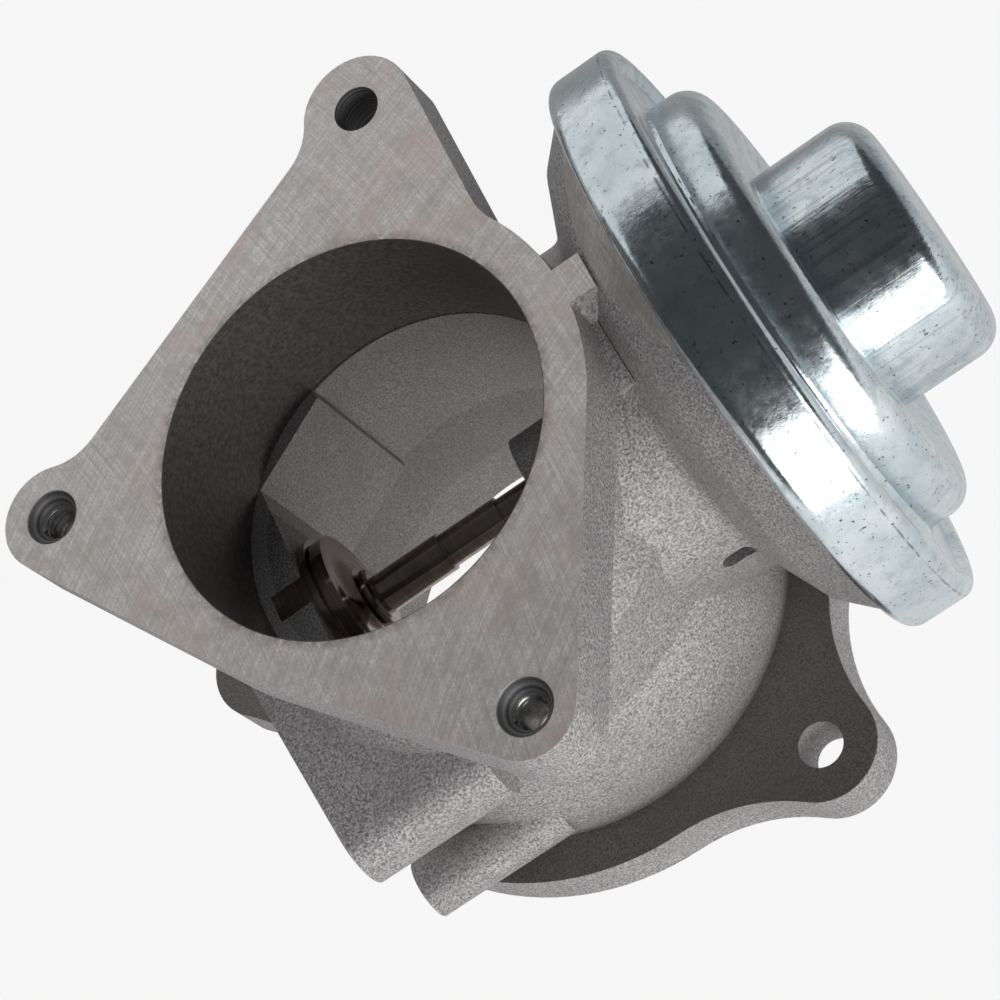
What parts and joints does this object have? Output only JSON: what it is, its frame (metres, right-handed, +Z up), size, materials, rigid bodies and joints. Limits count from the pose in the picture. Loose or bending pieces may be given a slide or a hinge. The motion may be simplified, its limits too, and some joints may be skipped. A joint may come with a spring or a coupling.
{
  "type": "exhaust gas recirculation valve",
  "caption": "vacuum-operated poppet valve in a flanged cast air duct, with a stepped round diaphragm actuator on its side",
  "frame": {"origin": "centre of the lower flange's mating face, on the duct's axis", "axes": "+Z up the duct to the upper flange, +X along the valve stem from the exhaust port to the actuator, +Y completes the frame"},
  "size_m": [0.1314, 0.1091, 0.09],
  "materials": {
    "cast_aluminium": "grit-blasted cast aluminium with milled faces",
    "seal_rubber": "smooth rubber",
    "seat_steel": "turned heat-resisting steel",
    "bush_bronze": "turned sintered bronze",
    "seal_ring": "filled PTFE",
    "spring_steel": "spring steel",
    "retainer_steel": "pressed steel",
    "diaphragm_rubber": "fabric-reinforced rubber",
    "coil_steel": "oiled spring wire",
    "spring_seat_steel": "pressed steel",
    "zinc_plated_steel": "deep-drawn steel, bright zinc plated",
    "nipple_brass": "turned brass",
    "valve_steel": "ground heat-resisting steel",
    "stem_steel": "ground stainless steel",
    "collar_steel": "turned stainless steel",
    "plate_steel": "pressed plated steel",
    "cup_steel": "pressed plated steel",
    "washer_steel": "plated steel",
    "nut_steel": "plated steel"
  },
  "bodies": {
    "housing": {"body_casting": "cast_aluminium", "duct_seal": "seal_rubber", "valve_seat": "seat_steel", "stem_guide_bush": "bush_bronze", "stem_seal": "seal_ring", "wave_washer": "spring_steel", "seal_retainer": "retainer_steel", "diaphragm": "diaphragm_rubber", "return_spring": "coil_steel", "spring_seat": "spring_seat_steel", "actuator_cover": "zinc_plated_steel", "vacuum_nipple": "nipple_brass"},
    "valve": {"valve_head": "valve_steel", "valve_stem": "stem_steel", "stem_collar": "collar_steel", "diaphragm_plate": "plate_steel", "diaphragm_cup": "cup_steel", "stem_washer": "washer_steel", "stem_nut": "nut_steel"}
  },
  "joints": [
    {"name": "valve_lift", "type": "slide", "parent": "housing", "child": "valve", "axis": [1, 0, 0], "range_m": [0, 0.006], "stiffness_N_per_m": 3000, "springref_m": -0.006, "deforming": ["return_spring", "diaphragm"]}
  ]
}
